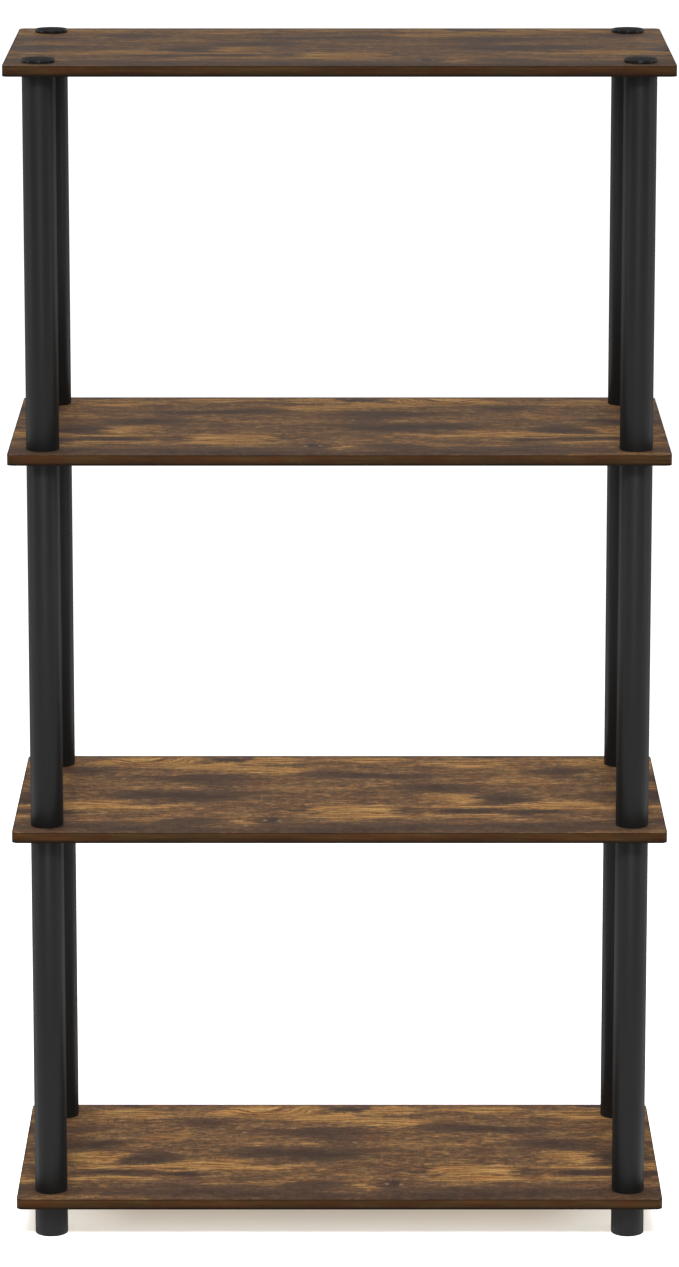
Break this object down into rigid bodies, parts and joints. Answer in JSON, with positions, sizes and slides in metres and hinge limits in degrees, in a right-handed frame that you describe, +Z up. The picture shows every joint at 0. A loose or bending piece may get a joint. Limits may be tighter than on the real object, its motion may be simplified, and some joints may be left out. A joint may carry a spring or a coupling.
{
  "type": "shelving unit",
  "caption": "Open free-standing shelving unit: thin wood-print board shelves on round dark tubes that screw together through the boards, with round caps on top and round feet below.",
  "frame": {"origin": "on the floor, under the middle of the unit", "axes": "+Z up, +X to the right seen from the front, the front faces -Y"},
  "size_m": [0.5994, 0.2946, 1.0989],
  "materials": {
    "board_foil": "printed rustic brown wood-grain foil, satin",
    "edge_tape": "plain dark brown edge tape, satin",
    "tube_plastic": "black extruded plastic, satin",
    "connector_plastic": "black moulded plastic",
    "cap_plastic": "black moulded plastic, satin",
    "foot_plastic": "black moulded plastic, satin"
  },
  "bodies": {
    "root": {"bottom_shelf_board": "board_foil", "bottom_shelf_edge_tape": "edge_tape", "lower_shelf_board": "board_foil", "lower_shelf_edge_tape": "edge_tape", "upper_shelf_board": "board_foil", "upper_shelf_edge_tape": "edge_tape", "top_shelf_board": "board_foil", "top_shelf_edge_tape": "edge_tape", "front_left_lower_tube": "tube_plastic", "front_left_lower_tube_stud_plug": "connector_plastic", "front_left_lower_tube_socket_plug": "connector_plastic", "front_left_middle_tube": "tube_plastic", "front_left_middle_tube_stud_plug": "connector_plastic", "front_left_middle_tube_socket_plug": "connector_plastic", "front_left_upper_tube": "tube_plastic", "front_left_upper_tube_stud_plug": "connector_plastic", "front_left_upper_tube_socket_plug": "connector_plastic", "front_right_lower_tube": "tube_plastic", "front_right_lower_tube_stud_plug": "connector_plastic", "front_right_lower_tube_socket_plug": "connector_plastic", "front_right_middle_tube": "tube_plastic", "front_right_middle_tube_stud_plug": "connector_plastic", "front_right_middle_tube_socket_plug": "connector_plastic", "front_right_upper_tube": "tube_plastic", "front_right_upper_tube_stud_plug": "connector_plastic", "front_right_upper_tube_socket_plug": "connector_plastic", "back_left_lower_tube": "tube_plastic", "back_left_lower_tube_stud_plug": "connector_plastic", "back_left_lower_tube_socket_plug": "connector_plastic", "back_left_middle_tube": "tube_plastic", "back_left_middle_tube_stud_plug": "connector_plastic", "back_left_middle_tube_socket_plug": "connector_plastic", "back_left_upper_tube": "tube_plastic", "back_left_upper_tube_stud_plug": "connector_plastic", "back_left_upper_tube_socket_plug": "connector_plastic", "back_right_lower_tube": "tube_plastic", "back_right_lower_tube_stud_plug": "connector_plastic", "back_right_lower_tube_socket_plug": "connector_plastic", "back_right_middle_tube": "tube_plastic", "back_right_middle_tube_stud_plug": "connector_plastic", "back_right_middle_tube_socket_plug": "connector_plastic", "back_right_upper_tube": "tube_plastic", "back_right_upper_tube_stud_plug": "connector_plastic", "back_right_upper_tube_socket_plug": "connector_plastic"},
    "front_left_cap": {"front_left_cap": "cap_plastic"},
    "front_left_cap_stud": {"front_left_cap_stud": "connector_plastic"},
    "front_left_foot": {"front_left_foot": "foot_plastic"},
    "front_left_foot_socket": {"front_left_foot_socket": "connector_plastic"},
    "front_right_cap": {"front_right_cap": "cap_plastic"},
    "front_right_cap_stud": {"front_right_cap_stud": "connector_plastic"},
    "front_right_foot": {"front_right_foot": "foot_plastic"},
    "front_right_foot_socket": {"front_right_foot_socket": "connector_plastic"},
    "back_left_cap": {"back_left_cap": "cap_plastic"},
    "back_left_cap_stud": {"back_left_cap_stud": "connector_plastic"},
    "back_left_foot": {"back_left_foot": "foot_plastic"},
    "back_left_foot_socket": {"back_left_foot_socket": "connector_plastic"},
    "back_right_cap": {"back_right_cap": "cap_plastic"},
    "back_right_cap_stud": {"back_right_cap_stud": "connector_plastic"},
    "back_right_foot": {"back_right_foot": "foot_plastic"},
    "back_right_foot_socket": {"back_right_foot_socket": "connector_plastic"}
  },
  "joints": [
    {"name": "front_left_cap_rise", "type": "slide", "parent": "root", "child": "front_left_cap", "axis": [0, 0, 1], "range_m": [0, 0.0135]},
    {"name": "front_left_cap_turn", "type": "hinge", "parent": "front_left_cap", "child": "front_left_cap_stud", "pos_m": [-0.2687, -0.1163, 1.0951], "axis": [0, 0, 1], "range_deg": [0, 972]},
    {"name": "front_left_foot_drop", "type": "slide", "parent": "root", "child": "front_left_foot", "axis": [0, 0, -1], "range_m": [0, 0.0135]},
    {"name": "front_left_foot_turn", "type": "hinge", "parent": "front_left_foot", "child": "front_left_foot_socket", "pos_m": [-0.2687, -0.1163, 0.032], "axis": [0, 0, -1], "range_deg": [0, 972]},
    {"name": "front_right_cap_rise", "type": "slide", "parent": "root", "child": "front_right_cap", "axis": [0, 0, 1], "range_m": [0, 0.0135]},
    {"name": "front_right_cap_turn", "type": "hinge", "parent": "front_right_cap", "child": "front_right_cap_stud", "pos_m": [0.2687, -0.1163, 1.0951], "axis": [0, 0, 1], "range_deg": [0, 972]},
    {"name": "front_right_foot_drop", "type": "slide", "parent": "root", "child": "front_right_foot", "axis": [0, 0, -1], "range_m": [0, 0.0135]},
    {"name": "front_right_foot_turn", "type": "hinge", "parent": "front_right_foot", "child": "front_right_foot_socket", "pos_m": [0.2687, -0.1163, 0.032], "axis": [0, 0, -1], "range_deg": [0, 972]},
    {"name": "back_left_cap_rise", "type": "slide", "parent": "root", "child": "back_left_cap", "axis": [0, 0, 1], "range_m": [0, 0.0135]},
    {"name": "back_left_cap_turn", "type": "hinge", "parent": "back_left_cap", "child": "back_left_cap_stud", "pos_m": [-0.2687, 0.1163, 1.0951], "axis": [0, 0, 1], "range_deg": [0, 972]},
    {"name": "back_left_foot_drop", "type": "slide", "parent": "root", "child": "back_left_foot", "axis": [0, 0, -1], "range_m": [0, 0.0135]},
    {"name": "back_left_foot_turn", "type": "hinge", "parent": "back_left_foot", "child": "back_left_foot_socket", "pos_m": [-0.2687, 0.1163, 0.032], "axis": [0, 0, -1], "range_deg": [0, 972]},
    {"name": "back_right_cap_rise", "type": "slide", "parent": "root", "child": "back_right_cap", "axis": [0, 0, 1], "range_m": [0, 0.0135]},
    {"name": "back_right_cap_turn", "type": "hinge", "parent": "back_right_cap", "child": "back_right_cap_stud", "pos_m": [0.2687, 0.1163, 1.0951], "axis": [0, 0, 1], "range_deg": [0, 972]},
    {"name": "back_right_foot_drop", "type": "slide", "parent": "root", "child": "back_right_foot", "axis": [0, 0, -1], "range_m": [0, 0.0135]},
    {"name": "back_right_foot_turn", "type": "hinge", "parent": "back_right_foot", "child": "back_right_foot_socket", "pos_m": [0.2687, 0.1163, 0.032], "axis": [0, 0, -1], "range_deg": [0, 972]}
  ],
  "couplings": [
    {"joint": "front_left_cap_turn", "follows": "front_left_cap_rise", "rad_per_m": 1256.6},
    {"joint": "front_left_foot_turn", "follows": "front_left_foot_drop", "rad_per_m": 1256.6},
    {"joint": "front_right_cap_turn", "follows": "front_right_cap_rise", "rad_per_m": 1256.6},
    {"joint": "front_right_foot_turn", "follows": "front_right_foot_drop", "rad_per_m": 1256.6},
    {"joint": "back_left_cap_turn", "follows": "back_left_cap_rise", "rad_per_m": 1256.6},
    {"joint": "back_left_foot_turn", "follows": "back_left_foot_drop", "rad_per_m": 1256.6},
    {"joint": "back_right_cap_turn", "follows": "back_right_cap_rise", "rad_per_m": 1256.6},
    {"joint": "back_right_foot_turn", "follows": "back_right_foot_drop", "rad_per_m": 1256.6}
  ]
}
